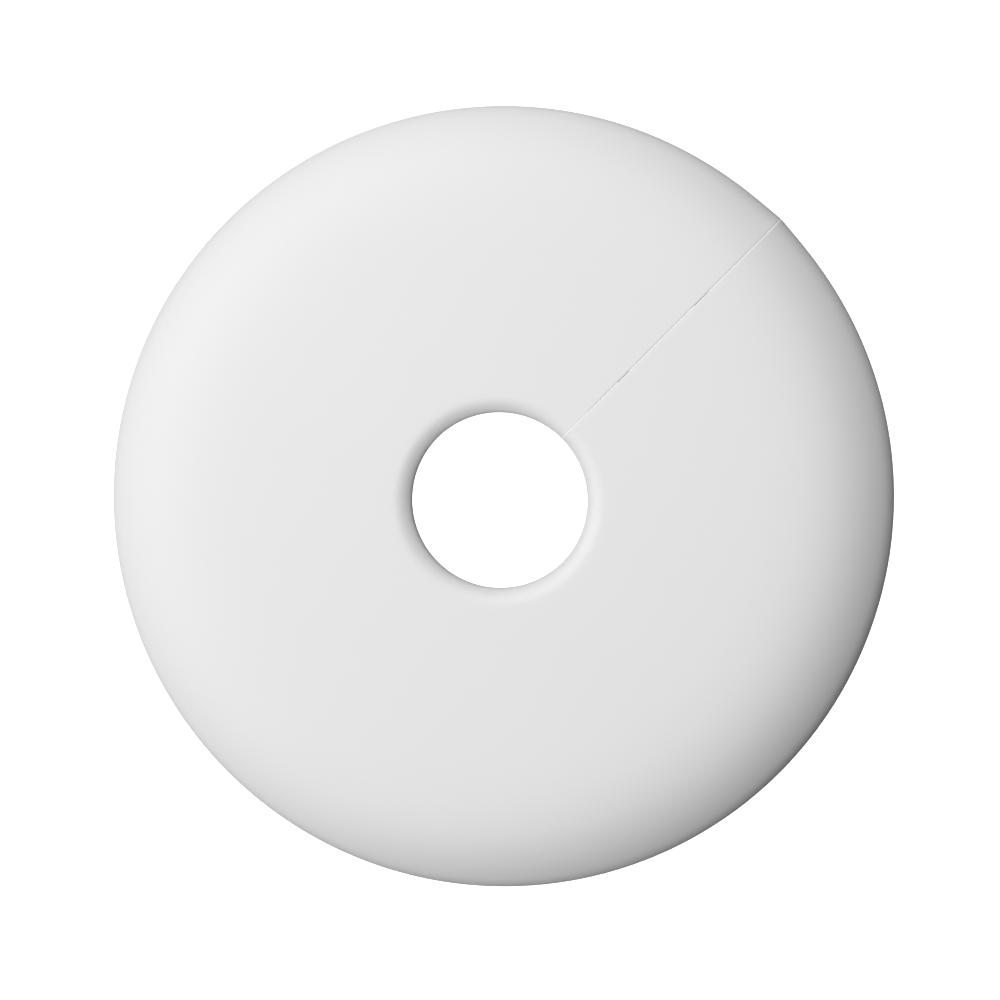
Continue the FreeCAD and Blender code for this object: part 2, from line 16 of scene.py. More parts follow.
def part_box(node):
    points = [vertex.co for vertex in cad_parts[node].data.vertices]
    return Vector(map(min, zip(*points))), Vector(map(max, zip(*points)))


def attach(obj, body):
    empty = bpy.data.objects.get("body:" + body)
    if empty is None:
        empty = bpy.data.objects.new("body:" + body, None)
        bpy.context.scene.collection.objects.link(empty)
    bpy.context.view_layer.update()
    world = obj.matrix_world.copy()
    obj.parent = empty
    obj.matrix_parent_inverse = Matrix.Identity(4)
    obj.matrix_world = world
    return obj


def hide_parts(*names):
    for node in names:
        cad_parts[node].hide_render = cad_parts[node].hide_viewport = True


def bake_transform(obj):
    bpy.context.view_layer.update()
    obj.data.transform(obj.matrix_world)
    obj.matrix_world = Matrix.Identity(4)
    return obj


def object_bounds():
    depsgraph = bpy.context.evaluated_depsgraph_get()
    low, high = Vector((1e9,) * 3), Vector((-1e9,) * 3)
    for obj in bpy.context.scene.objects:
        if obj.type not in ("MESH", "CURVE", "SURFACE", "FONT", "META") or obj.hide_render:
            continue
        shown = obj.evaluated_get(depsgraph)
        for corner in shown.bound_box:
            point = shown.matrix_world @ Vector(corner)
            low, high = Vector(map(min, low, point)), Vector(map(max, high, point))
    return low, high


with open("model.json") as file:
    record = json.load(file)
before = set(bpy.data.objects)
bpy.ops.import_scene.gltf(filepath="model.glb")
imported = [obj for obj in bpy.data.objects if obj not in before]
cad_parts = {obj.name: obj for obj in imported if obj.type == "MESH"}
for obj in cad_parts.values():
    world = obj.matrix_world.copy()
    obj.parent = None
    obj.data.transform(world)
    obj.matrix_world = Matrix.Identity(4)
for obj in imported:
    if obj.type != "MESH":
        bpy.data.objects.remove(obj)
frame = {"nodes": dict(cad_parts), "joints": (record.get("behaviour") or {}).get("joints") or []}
cad_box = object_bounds()

MM = 0.001

# ------------------------------------------------------------- driving sizes
PLATE_RADIUS = cad_box[1].x
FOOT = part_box("fixed_half_shell")[0].z
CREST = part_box("fixed_half_shell")[1].z
BORE_RADIUS = 11.1 * MM
WALL = 2.0 * MM
LIP_LAND = 2.5 * MM
SEAM_GAP = 0.02 * MM        # between the closed halves
DOME_ARCS = (               # radius and sweep in degrees, from the bore outwards
    (2.2 * MM, 90.0),
    (31.0 * MM, 2.0),
    (267.0 * MM, 4.0),
    (62.0 * MM, 4.8),
    (24.0 * MM, 9.7),
    (14.15 * MM, 31.5),
)
RIB_ANGLES = (30, 60, 90, 120, 150)
RIB_FLOOR = 8.5 * MM
RIB_THICKNESS = 1.4 * MM
FLANGE_THICKNESS = 1.5 * MM
RIM_RIB = (43.0 * MM, 44.5 * MM)
COLLAR = (12.1 * MM, 13.1 * MM)
COLLAR_FLOOR = 6.5 * MM
SEAM_BEVEL = 0.14 * MM      # rounding along the seam, at its full size
SEAM_FADE = (12.5 * MM, 18.5 * MM, 0.2)      # it grows from a fifth of that between these radii
SETBACK = SEAM_GAP       # inner walls stop just short of the split faces
SEAM_CORNER = (0.26 * MM, 3.0, 44.0 * MM)      # the outline stands out at the seam: by how much, over how
                                               # many degrees, and from which radius on
EDGE_ROUNDING = 0.25 * MM      # lower edges of the wall
DOWEL_RADIUS = 1.0 * MM
DOWEL_REACH = 2.5 * MM
DOWEL_PLAY = 0.2 * MM
PAD_SIZE = (5.0 * MM, 4.5 * MM)
PIVOT_BOSS = (3.2 * MM, 7.2 * MM)       # radius and lower face
KEEPER_BOSS = (2.8 * MM, 8.2 * MM)
STOP_POST = (Vector((33.15, 3.6)) * MM, 1.2 * MM)
SPRING_POST_RADIUS = 1.9 * MM
HINGE_KEY = (0.8 * MM, 2.0 * MM, 0.7 * MM, 48.6 * MM)    # depth, half width, bead slot, bead place
PLAY = 0.1 * MM

BODIES = {1: "fixed_half", -1: "swing_half"}     # by the sign of y


# --------------------------------------------------------------- dome profile
def arc_steps(radius, sweep):
    """How many chords keep an arc smooth."""
    return max(3, math.ceil(sweep / 3.0), math.ceil(radius * math.radians(sweep) / (1.2 * MM)))


def dome_profile(offset=0.0):
    """Points (radius, height) of the dome from the lip to the skirt, moved inwards by an offset,
    with the outward normal of each."""
    reach = BORE_RADIUS + DOME_ARCS[0][0]
    slope = 0.0
    for radius, sweep in DOME_ARCS[1:]:
        steeper = slope + sweep
        reach += radius * (math.sin(math.radians(steeper)) - math.sin(math.radians(slope)))
        slope = steeper
    edge_radius = (PLATE_RADIUS - reach) / (1.0 - math.sin(math.radians(slope)))
    arcs = DOME_ARCS + ((edge_radius, 90.0 - slope),)
    centre_r = BORE_RADIUS + DOME_ARCS[0][0]
    centre_z = CREST - DOME_ARCS[0][0]
    slope = -90.0
    points = []
    before = DOME_ARCS[0][0]
    for radius, sweep in arcs:
        centre_r += (before - radius) * math.sin(math.radians(slope))
        centre_z += (before - radius) * math.cos(math.radians(slope))
        steps = arc_steps(radius, sweep)
        for step in range(0 if not points else 1, steps + 1):
            angle = math.radians(slope + sweep * step / steps)
            normal = (math.sin(angle), math.cos(angle))
            points.append((centre_r + (radius - offset) * normal[0], centre_z + (radius - offset) * normal[1],
                           normal))
        slope += sweep
        before = radius
    return points


OUTER = dome_profile()
INNER = dome_profile(WALL)
MIDDLE = dome_profile(WALL / 2)


def middle_height(radius):
    """Height of the middle of the wall at a distance from the axis."""
    for (r0, z0, _), (r1, z1, _) in zip(MIDDLE, MIDDLE[1:]):
        if r0 <= radius <= r1:
            return z0 + (z1 - z0) * (radius - r0) / (r1 - r0)
    return MIDDLE[-1][1]


# ---------------------------------------------------------------- mesh tools
def new_object(name, bm):
    """A mesh object from a bmesh, with its faces turned outwards."""
    bmesh.ops.recalc_face_normals(bm, faces=bm.faces)
    mesh = bpy.data.meshes.new(name)
    bm.to_mesh(mesh)
    bm.free()
    made = bpy.data.objects.new(name, mesh)
    bpy.context.scene.collection.objects.link(made)
    return made


def smooth_by_angle(made, degrees=35.0):
    """Smooth shading, with creases kept where faces meet at more than an angle."""
    made.data.shade_smooth()
    made.data.set_sharp_from_angle(angle=math.radians(degrees))
    return made


def boolean(target, tools, operation):
    """Joins every tool to the target, or cuts it out, and removes the tools."""
    group = bpy.data.collections.new("tools")
    for tool in tools:
        group.objects.link(tool)
    change = target.modifiers.new("boolean", "BOOLEAN")
    change.operation = operation
    change.operand_type = "COLLECTION"
    change.collection = group
    change.solver = "MANIFOLD"
    graph = bpy.context.evaluated_depsgraph_get()
    result = bpy.data.meshes.new_from_object(target.evaluated_get(graph))
    target.modifiers.clear()
    target.data = result
    for tool in tools:
        bpy.data.objects.remove(tool)
    bpy.data.collections.remove(group)
    return target


def slab(name, outline, axis_x, axis_z, thickness_axis, low, high, rounding=0.0):
    """A closed plate: a 2-D outline in the plane of two axes, spanned between two offsets."""
    bm = bmesh.new()
    rings = []
    for offset in (low, high):
        rings.append([bm.verts.new(axis_x * u + axis_z * v + thickness_axis * offset) for u, v in outline])
    bm.faces.new(rings[0])
    bm.faces.new(rings[1])
    count = len(outline)
    for here in range(count):
        after = (here + 1) % count
        bm.faces.new((rings[0][here], rings[0][after], rings[1][after], rings[1][here]))
    if rounding:
        bm.edges.ensure_lookup_table()
        low_v = min(v for _, v in outline)
        lower = [edge for edge in bm.edges
                 if all(abs(vert.co.dot(axis_z) - low_v) < 1e-7 for vert in edge.verts)]
        bmesh.ops.bevel(bm, geom=lower, offset=rounding, segments=3, affect="EDGES", profile=0.5)
    return new_object(name, bm)


def arc_points(centre, radius, start, end, steps):
    """Points along an arc, by angles in degrees."""
    points = []
    for step in range(steps + 1):
        angle = math.radians(start + (end - start) * step / steps)
        points.append((centre[0] + radius * math.cos(angle), centre[1] + radius * math.sin(angle)))
    return points


def half_ring(name, side, loop, gap, steps=120):
    """A closed (radius, height) loop turned half way round Z, with flat ends at half a gap from
    the split plane."""
    bm = bmesh.new()
    columns = []
    for step in range(steps + 1):
        ring = []
        for r, z in loop:
            first = math.asin(gap / 2 / r)
            angle = side * (first + (math.pi - 2 * first) * step / steps)
            ring.append(bm.verts.new((r * math.cos(angle), r * math.sin(angle), z)))
        columns.append(ring)
    for left, right in zip(columns, columns[1:]):
        for low in range(len(loop)):
            high = (low + 1) % len(loop)
            bm.faces.new((left[low], right[low], right[high], left[high]))
    bm.faces.new(columns[0])
    bm.faces.new(columns[-1])
    return new_object(name, bm)


def post(name, place, radius, low, high, steps=40, rounding=0.0):
    """An upright cylinder at (x, y), with its lower edge rounded."""
    loop = [(radius, low)]
    if rounding:
        loop = arc_points((radius - rounding, low + rounding), rounding, 270.0, 360.0, 3)
    bm = bmesh.new()
    rings = []
    for r, z in loop + [(radius, high)]:
        ring = []
        for step in range(steps):
            angle = 2 * math.pi * step / steps
            ring.append(bm.verts.new((place[0] + r * math.cos(angle), place[1] + r * math.sin(angle), z)))
        rings.append(ring)
    for below, above in zip(rings, rings[1:]):
        for step in range(steps):
            after = (step + 1) % steps
            bm.faces.new((below[step], below[after], above[after], above[step]))
    bm.faces.new(rings[0])
    bm.faces.new(rings[-1])
    return new_object(name, bm)


# --------------------------------------------------------------- half shells
SHELL_STEPS = 180
BEVEL_STEPS = 4
SEAM_SETTLE = (0.2 * MM, 0.5 * MM, 1.0 * MM, 2.0 * MM)      # evenly spaced sections start beyond these


def seam_bevel(radius):
    """Rounding along the seam, which dies away towards the bore."""
    near, far, least = SEAM_FADE
    part = min(max((radius - near) / (far - near), 0.0), 1.0)
    return SEAM_BEVEL * (least + (1.0 - least) * part * part * (3.0 - 2.0 * part))


def shell_columns():
    """Sections round the half shell as (turn of the rounding, distance past it, share of the rest)."""
    columns = [(90.0 * step / BEVEL_STEPS, 0.0, 0.0) for step in range(BEVEL_STEPS + 1)]
    columns += [(90.0, past, 0.0) for past in SEAM_SETTLE]
    columns += [(90.0, SEAM_SETTLE[-1], step / SHELL_STEPS) for step in range(1, SHELL_STEPS + 1)]
    return columns


def plan_point(radius, column, side, bevel, corner=0.0):
    """Where a section crosses a circle about the axis, in plan; a corner stands out at the seam."""
    turn, past, share = column
    away = SEAM_GAP / 2 + bevel * (1 - math.cos(math.radians(turn))) + past
    first = math.asin(away / radius)
    angle = first + (math.pi - first) * share
    reach = radius + corner * math.exp(-math.degrees(angle) / SEAM_CORNER[1])
    return reach * math.cos(angle), side * reach * math.sin(angle)


def corner_height(radius):
    """How far the seam's corner stands out, at a distance from the axis."""
    height, _, start = SEAM_CORNER
    part = min(max((radius - start) / (PLATE_RADIUS - start), 0.0), 1.0)
    return height * part * part * (3.0 - 2.0 * part)


def edge_round(centre, start, end, steps=4):
    """Points (radius, height, normal) round a lower edge of the wall, by angles in degrees."""
    points = []
    for step in range(steps + 1):
        angle = math.radians(start + (end - start) * step / steps)
        normal = (math.cos(angle), math.sin(angle))
        points.append((centre[0] + EDGE_ROUNDING * normal[0], centre[1] + EDGE_ROUNDING * normal[1], normal))
    return points


def skin(name, side):
    """The moulded wall of one half, with a small rounding along the opening seam."""
    land = CREST - DOME_ARCS[0][0] - LIP_LAND + EDGE_ROUNDING
    foot = FOOT + EDGE_ROUNDING
    outer = (edge_round((BORE_RADIUS + EDGE_ROUNDING, land), 270.0, 180.0) + OUTER
             + edge_round((PLATE_RADIUS - EDGE_ROUNDING, foot), 0.0, -90.0))
    inner = (edge_round((BORE_RADIUS + WALL - EDGE_ROUNDING, land), -90.0, 0.0) + INNER
             + edge_round((PLATE_RADIUS - WALL + EDGE_ROUNDING, foot), 180.0, 270.0))
    bm = bmesh.new()
    grid = []
    for column in shell_columns():
        ring = []
        for r, z, normal in outer:
            bevel = seam_bevel(r)
            inward = bevel * (1 - math.sin(math.radians(column[0])))
            x, y = plan_point(r - inward * normal[0], column, side, bevel, corner_height(r))
            ring.append(bm.verts.new((x, y, z - inward * normal[1])))
        for r, z, _ in reversed(inner):
            x, y = plan_point(r, column, side, SEAM_BEVEL)
            ring.append(bm.verts.new((x, y, z)))
        grid.append(ring)
    count = len(outer)
    total = 2 * count
    for left, right in zip(grid, grid[1:]):
        for low in range(total):
            high = (low + 1) % total
            bm.faces.new((left[low], right[low], right[high], left[high]))
    for ring in (grid[0], grid[-1]):
        for low in range(count - 1):
            bm.faces.new((ring[low], ring[low + 1], ring[total - 2 - low], ring[total - 1 - low]))
    return new_object(name, bm)


def under_dome(start, end, floor, rounding=0.0, step=1.0 * MM):
    """Outline of a wall under the dome: a level lower edge and a top that follows the dome."""
    count = max(2, math.ceil((end - start) / step))
    top = [start + (end - start) * number / count for number in range(count + 1)]
    lower = [(start, floor), (end, floor)]
    if rounding:
        lower = arc_points((start + rounding, floor + rounding), rounding, 180.0, 270.0, 4)
        lower += arc_points((end - rounding, floor + rounding), rounding, 270.0, 360.0, 4)
    return lower + [(r, middle_height(r)) for r in reversed(top)]


UP = Vector((0, 0, 1))


def half_walls(side):
    """Second rim wall, collar and ribs of one half."""
    walls = []
    for name, span, floor in (("rim_wall", RIM_RIB, FOOT), ("collar", COLLAR, COLLAR_FLOOR)):
        walls.append(half_ring(name, side, under_dome(*span, floor, EDGE_ROUNDING), 2 * SETBACK))
    middle = (COLLAR[0] + COLLAR[1]) / 2
    reach = (RIM_RIB[0] + RIM_RIB[1]) / 2
    for angle in RIB_ANGLES:
        turned = math.radians(angle * side)
        along = Vector((math.cos(turned), math.sin(turned), 0))
        across = Vector((-math.sin(turned), math.cos(turned), 0))
        walls.append(slab(f"rib_{angle}", under_dome(middle, reach, RIB_FLOOR), along, UP, across,
                          -RIB_THICKNESS / 2, RIB_THICKNESS / 2, rounding=0.35 * MM))
    return walls


def dowel_middle(side):
    """Middle of a dowel in its hole, on the seam side (1) or the hinge side (-1) of the bore."""
    low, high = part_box("locating_dowels")
    return Vector((side * (high.x - DOWEL_RADIUS), 0, (low.z + high.z) / 2))


def split_walls(side):
    """Flange along the split, with a thicker pad round each dowel."""
    walls = []
    middle = (COLLAR[0] + COLLAR[1]) / 2
    reach = (RIM_RIB[0] + RIM_RIB[1]) / 2
    across = Vector((0, side, 0))
    for end in (1, -1):
        along = Vector((end, 0, 0))
        walls.append(slab("flange", under_dome(middle, reach, RIB_FLOOR), along, UP, across, SETBACK,
                          FLANGE_THICKNESS, rounding=0.3 * MM))
        centre = abs(dowel_middle(end).x)
        outline = under_dome(centre - PAD_SIZE[0] / 2, centre + PAD_SIZE[0] / 2, RIB_FLOOR - PLAY)
        walls.append(slab("pad", outline, along, UP, across, SETBACK, PAD_SIZE[1], rounding=0.3 * MM))
    return walls


def upright(name, place, radius, floor, rounding=0.3 * MM):
    """A boss or post that hangs from the dome."""
    top = middle_height(math.hypot(place[0], place[1]))
    return post(name, place, radius, floor, top, rounding=rounding)


PIVOT = Vector(next(joint["pos_m"] for joint in frame["joints"] if joint["name"] == "pawl_turn"))
KEEPER = (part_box("keeper_pin")[0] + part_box("keeper_pin")[1]) / 2
SPRING_LOW, SPRING_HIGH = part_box("latch_spring")
SPRING_POST = Vector(((SPRING_LOW.x + SPRING_HIGH.x) / 2, SPRING_HIGH.y - SPRING_POST_RADIUS / 2))
HINGE_LOW, HINGE_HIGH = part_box("hinge_strip")


def brick(name, low, high):
    """A closed box between two corners, for cutting."""
    bm = bmesh.new()
    bmesh.ops.create_cube(bm, size=1.0)
    bmesh.ops.scale(bm, vec=high - low, verts=bm.verts)
    bmesh.ops.translate(bm, vec=(high + low) / 2, verts=bm.verts)
    return new_object(name, bm)


def across_pin(name, middle, radius, start, end):
    """A cylinder along Y between two offsets from a point."""
    made = post(name, (0, 0), radius, start, end)
    made.data.transform(Matrix.Translation(middle) @ Matrix.Rotation(math.radians(-90), 4, "X"))
    return made


def key_slots():
    """Slots in the rim for the hinge profile."""
    depth, half_width, bead, place = HINGE_KEY
    top = HINGE_HIGH.z + PLAY
    tools = [brick("key_mouth", Vector((-PLATE_RADIUS - PLAY, -half_width, FOOT - PLAY)),
                   Vector((depth - PLATE_RADIUS - PLAY, half_width, top)))]
    for end in (1, -1):
        tools.append(post("key_bead", (-place, end * half_width), bead, FOOT - PLAY, top))
    return tools


def fixed_details():
    """Posts of the fixed half and what is cut out of it."""
    posts = [upright("pivot_boss", PIVOT, *PIVOT_BOSS),
             upright("stop_post", *STOP_POST, SPRING_LOW.z),
             upright("spring_post", SPRING_POST, SPRING_POST_RADIUS, SPRING_LOW.z - PLAY / 2)]
    slot = brick("spring_slot", Vector((SPRING_LOW.x - PLAY / 2, SPRING_POST.y - 2 * SPRING_POST_RADIUS,
                                        SPRING_LOW.z - PLAY)),
                 Vector((SPRING_HIGH.x + PLAY / 2, SPRING_HIGH.y + PLAY / 2, SPRING_HIGH.z + PLAY / 2)))
    screw_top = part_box("latch_pivot_screw")[1].z
    thread = post("thread_hole", PIVOT, 1.2 * MM, PIVOT_BOSS[1] - PLAY, screw_top + PLAY)
    holes = [across_pin("dowel_hole", dowel_middle(end), DOWEL_RADIUS, -PLAY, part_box("locating_dowels")[1].y)
             for end in (1, -1)]
    return posts, [slot, thread] + holes


def swing_details():
    """Boss of the swinging half and what is cut out of it."""
    posts = [upright("keeper_boss", KEEPER, *KEEPER_BOSS)]
    pin_low, pin_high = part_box("keeper_pin")
    hole = post("keeper_hole", KEEPER, (pin_high.x - pin_low.x) / 2, KEEPER_BOSS[1] - PLAY, pin_high.z)
    sockets = [across_pin("socket", dowel_middle(end), DOWEL_RADIUS + DOWEL_PLAY, -DOWEL_REACH - DOWEL_PLAY,
                          PLAY)
               for end in (1, -1)]
    return posts, [hole] + sockets


def half_shell(name, side, details, node):
    """One half of the plate, with its ribs, posts and holes, in place of its CAD solid."""
    posts, holes = details
    shell = skin(name, side)
    boolean(shell, half_walls(side) + split_walls(side) + posts, "UNION")
    boolean(shell, holes + key_slots(), "DIFFERENCE")
    finish_piece(shell, white_plastic, node)
    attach(shell, BODIES[side])
    return shell


def finish_piece(made, look, node):
    """Shades a piece, gives it its material and puts it in place of its CAD solid."""
    smooth_by_angle(made)
    made.data.materials.clear()
    made.data.materials.append(look())
    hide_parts(node)
    return made


# ----------------------------------------------------------------- rear seal
FOAM_GAP = 0.3 * MM
FOAM_ROUNDING = 0.3 * MM
FOAM_BULGE = 0.12 * MM
FOAM_INNER = 42.8 * MM
TAB_RADIUS = 4.0 * MM


def foam_loop(low, high):
    """Section of the foam: rounded edges, and sides that swell a little."""
    middle_z = (low.z + high.z) / 2
    half_height = (high.z - low.z) / 2
    outer = high.x
    loop = []
    for side, radius in ((1, outer), (-1, FOAM_INNER)):
        face = radius - side * FOAM_BULGE
        for step in range(13):
            rise = -1.0 + 2.0 * step / 12
            height = middle_z + side * rise * half_height
            swell = FOAM_BULGE * (1.0 - rise * rise)
            corner = max(0.0, abs(rise) * half_height - (half_height - FOAM_ROUNDING))
            round_off = FOAM_ROUNDING - math.sqrt(FOAM_ROUNDING ** 2 - corner ** 2)
            loop.append((face + side * (swell - round_off), height))
    return loop


def foam_ring(name, side, node):
    """Half of the foam ring between the rim and the ceiling."""
    low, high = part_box(node)
    made = half_ring(name, side, foam_loop(low, high), FOAM_GAP, steps=240)
    finish_piece(made, foam, node)
    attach(made, BODIES[side])
    return made


def release_liner(name, side, node):
    """Half of the paper ring under the foam, with a round finger tab on its inside."""
    low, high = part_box(node)
    ends = [math.degrees(math.asin(FOAM_GAP / 2 / radius)) for radius in (high.x, FOAM_INNER)]
    notch = 2 * math.degrees(math.asin(TAB_RADIUS / 2 / FOAM_INNER))
    outline = arc_points((0, 0), high.x, ends[0], 180.0 - ends[0], 160)
    outline += arc_points((0, 0), FOAM_INNER, 180.0 - ends[1], 90.0 + notch, 70)
    outline += arc_points((0, FOAM_INNER), TAB_RADIUS, 180.0 + notch / 2, 360.0 - notch / 2, 40)[1:-1]
    outline += arc_points((0, 0), FOAM_INNER, 90.0 - notch, ends[1], 70)
    made = slab(name, outline, Vector((1, 0, 0)), Vector((0, side, 0)), UP, low.z, high.z)
    finish_piece(made, liner_paper, node)
    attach(made, BODIES[side])
    return made


# ---------------------------------------------------------- hinge and spring
HINGE_LEAF = 0.6 * MM
HINGE_WEB = 0.3 * MM
HINGE_WEB_HALF = 0.8 * MM
HINGE_BEAD_RADIUS = 0.6 * MM
WEB_STEPS = 20


def hinge_outline():
    """Plan of the hinge profile: a thin web between two leaves with round beads."""
    _, bead_offset, _, bead_place = HINGE_KEY
    outer = HINGE_LOW.x
    inner = outer + HINGE_LEAF
    meeting = math.degrees(math.acos((inner + bead_place) / HINGE_BEAD_RADIUS))
    upper = [(outer, HINGE_WEB_HALF * step / WEB_STEPS * 2) for step in range(WEB_STEPS // 2 + 1)]
    upper += [(outer, bead_offset)]
    upper += arc_points((-bead_place, bead_offset), HINGE_BEAD_RADIUS, 180.0, -meeting, 28)
    upper += [(inner, HINGE_WEB_HALF), (outer + HINGE_WEB * 1.2, HINGE_WEB_HALF * 0.98),
              (outer + HINGE_WEB, HINGE_WEB_HALF * 0.9)]
    upper += [(outer + HINGE_WEB, HINGE_WEB_HALF * 0.9 * (1 - step / WEB_STEPS * 2))
              for step in range(1, WEB_STEPS // 2 + 1)]
    lower = [(x, -y) for x, y in reversed(upper)]
    return upper[:-1] + lower[:-1]


def hinge_profile(name, node):
    """Film hinge: a thin web between two leaves, spanned over the CAD strip's height."""
    made = slab(name, hinge_outline(), Vector((1, 0, 0)), Vector((0, 1, 0)), UP, HINGE_LOW.z, HINGE_HIGH.z)
    finish_piece(made, hinge_plastic, node)
    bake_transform(made)
    return made


SPRING_STEPS = 60


def leaf_spring(name, node):
    """Flat leaf with softened edges."""
    thickness = SPRING_HIGH.x - SPRING_LOW.x
    middle_x = (SPRING_LOW.x + SPRING_HIGH.x) / 2
    soft = thickness / 5
    section = []
    for x_side, z_edge, turn in ((1, SPRING_HIGH.z, 1), (-1, SPRING_HIGH.z, 1), (-1, SPRING_LOW.z, -1),
                                 (1, SPRING_LOW.z, -1)):
        across = [(middle_x + x_side * thickness / 2, z_edge - turn * soft),
                  (middle_x + x_side * (thickness / 2 - soft), z_edge)]
        section += across if x_side * turn > 0 else across[::-1]
    bm = bmesh.new()
    rings = []
    for step in range(SPRING_STEPS + 1):
        y = SPRING_LOW.y + (SPRING_HIGH.y - SPRING_LOW.y) * step / SPRING_STEPS
        rings.append([bm.verts.new((x, y, z)) for x, z in section])
    for left, right in zip(rings, rings[1:]):
        for low in range(len(section)):
            high = (low + 1) % len(section)
            bm.faces.new((left[low], right[low], right[high], left[high]))
    bm.faces.new(rings[0])
    bm.faces.new(rings[-1])
    made = new_object(name, bm)
    finish_piece(made, spring_steel, node)
    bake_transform(made)
    return made


# ---------------------------------------------------------------- CAD's own
def dress(node, look, softening):
    """Gives a CAD piece its material and softens its edges."""
    piece = frame["nodes"][node]
    piece.data.materials.clear()
    piece.data.materials.append(look())
    weld = piece.modifiers.new("weld", "WELD")
    weld.merge_threshold = 0.001 * MM
    flat = piece.modifiers.new("flat", "DECIMATE")
    flat.decimate_type = "DISSOLVE"
    flat.angle_limit = math.radians(1.0)
    edges = piece.modifiers.new("edges", "BEVEL")
    edges.width = softening
    edges.segments = 3
    edges.limit_method = "ANGLE"
    edges.angle_limit = math.radians(40.0)
    edges.harden_normals = True
    piece.data.shade_smooth()
    return piece


# ------------------------------------------------------------------ materials
def material(name, colour, roughness, metallic=0.0, coat=0.0):
    """A Principled material; returns it with its nodes, links and shader."""
    made = bpy.data.materials.new(name)
    made.use_nodes = True
    nodes = made.node_tree.nodes
    shader = nodes["Principled BSDF"]
    shader.inputs["Base Color"].default_value = (*colour, 1.0)
    shader.inputs["Roughness"].default_value = roughness
    shader.inputs["Metallic"].default_value = metallic
    shader.inputs["Coat Weight"].default_value = coat
    return made, nodes, made.node_tree.links, shader


def object_noise(nodes, links, scale, detail=4.0, stretch=(1.0, 1.0, 1.0)):
    """Noise in the object's own coordinates; scale is in features per metre."""
    place = nodes.new("ShaderNodeTexCoord")
    mapping = nodes.new("ShaderNodeMapping")
    mapping.inputs["Scale"].default_value = stretch
    noise = nodes.new("ShaderNodeTexNoise")
    noise.inputs["Scale"].default_value = scale
    noise.inputs["Detail"].default_value = detail
    links.new(place.outputs["Object"], mapping.inputs["Vector"])
    links.new(mapping.outputs["Vector"], noise.inputs["Vector"])
    return noise


def colour_between(nodes, links, factor, low, high, shader):
    """Mixes two colours by a factor into the shader's base colour."""
    mix = nodes.new("ShaderNodeMix")
    mix.data_type = "RGBA"
    mix.inputs["A"].default_value = (*low, 1.0)
    mix.inputs["B"].default_value = (*high, 1.0)
    links.new(factor, mix.inputs["Factor"])
    links.new(mix.outputs["Result"], shader.inputs["Base Color"])


def range_to(nodes, links, factor, low, high, socket):
    """Maps a 0 to 1 factor to a range and feeds a socket."""
    mapped = nodes.new("ShaderNodeMapRange")
    mapped.inputs["To Min"].default_value = low
    mapped.inputs["To Max"].default_value = high
    links.new(factor, mapped.inputs["Value"])
    links.new(mapped.outputs["Result"], socket)


def bump(nodes, links, height, strength, distance, shader):
    """Bump from a height, with its distance in metres."""
    relief = nodes.new("ShaderNodeBump")
    relief.inputs["Strength"].default_value = strength
    relief.inputs["Distance"].default_value = distance
    links.new(height, relief.inputs["Height"])
    links.new(relief.outputs["Normal"], shader.inputs["Normal"])


def once(maker):
    """Makes a material the first time and hands back the same one afterwards. Its slot in the
    record has the maker's name."""
    kept = []

    def fetch():
        if not kept:
            kept.append(maker())
        return kept[0]
    fetch.slot = maker.__name__
    return fetch


@once
def white_plastic():
    """Satin white moulding: faint flow variation and a very fine grain."""
    made, nodes, links, shader = material("white_plastic", (0.80, 0.80, 0.80), 0.38)
    flow = object_noise(nodes, links, 45.0, detail=2.0)
    colour_between(nodes, links, flow.outputs["Fac"], (0.792, 0.792, 0.792), (0.808, 0.808, 0.807), shader)
    grain = object_noise(nodes, links, 9000.0, detail=3.0)
    range_to(nodes, links, grain.outputs["Fac"], 0.34, 0.42, shader.inputs["Roughness"])
    bump(nodes, links, grain.outputs["Fac"], 0.12, 0.004 * MM, shader)
    return made


def cells(nodes, links, scale):
    """Round cells in the object's own coordinates; scale is in cells per metre."""
    place = nodes.new("ShaderNodeTexCoord")
    cell = nodes.new("ShaderNodeTexVoronoi")
    cell.inputs["Scale"].default_value = scale
    links.new(place.outputs["Object"], cell.inputs["Vector"])
    return cell


@once
def foam():
    """Grey closed-cell foam: small cells with darker walls between them."""
    made, nodes, links, shader = material("foam", (0.3, 0.3, 0.31), 0.92)
    cell = cells(nodes, links, 4200.0)
    colour_between(nodes, links, cell.outputs["Distance"], (0.20, 0.20, 0.21), (0.36, 0.36, 0.37), shader)
    bump(nodes, links, cell.outputs["Distance"], 0.5, 0.06 * MM, shader)
    return made


@once
def liner_paper():
    """Waxed yellowish paper with long fibres."""
    made, nodes, links, shader = material("liner_paper", (0.8, 0.74, 0.55), 0.42, coat=0.15)
    fibre = object_noise(nodes, links, 1800.0, detail=5.0, stretch=(0.25, 1.0, 1.0))
    colour_between(nodes, links, fibre.outputs["Fac"], (0.76, 0.69, 0.50), (0.84, 0.78, 0.60), shader)
    bump(nodes, links, fibre.outputs["Fac"], 0.2, 0.02 * MM, shader)
    return made


@once
def hinge_plastic():
    """Extruded polypropylene: fine lines along the extrusion."""
    made, nodes, links, shader = material("hinge_plastic", (0.78, 0.78, 0.77), 0.45)
    line = object_noise(nodes, links, 6000.0, detail=3.0, stretch=(1.0, 1.0, 0.05))
    colour_between(nodes, links, line.outputs["Fac"], (0.74, 0.74, 0.73), (0.81, 0.81, 0.80), shader)
    bump(nodes, links, line.outputs["Fac"], 0.15, 0.008 * MM, shader)
    return made


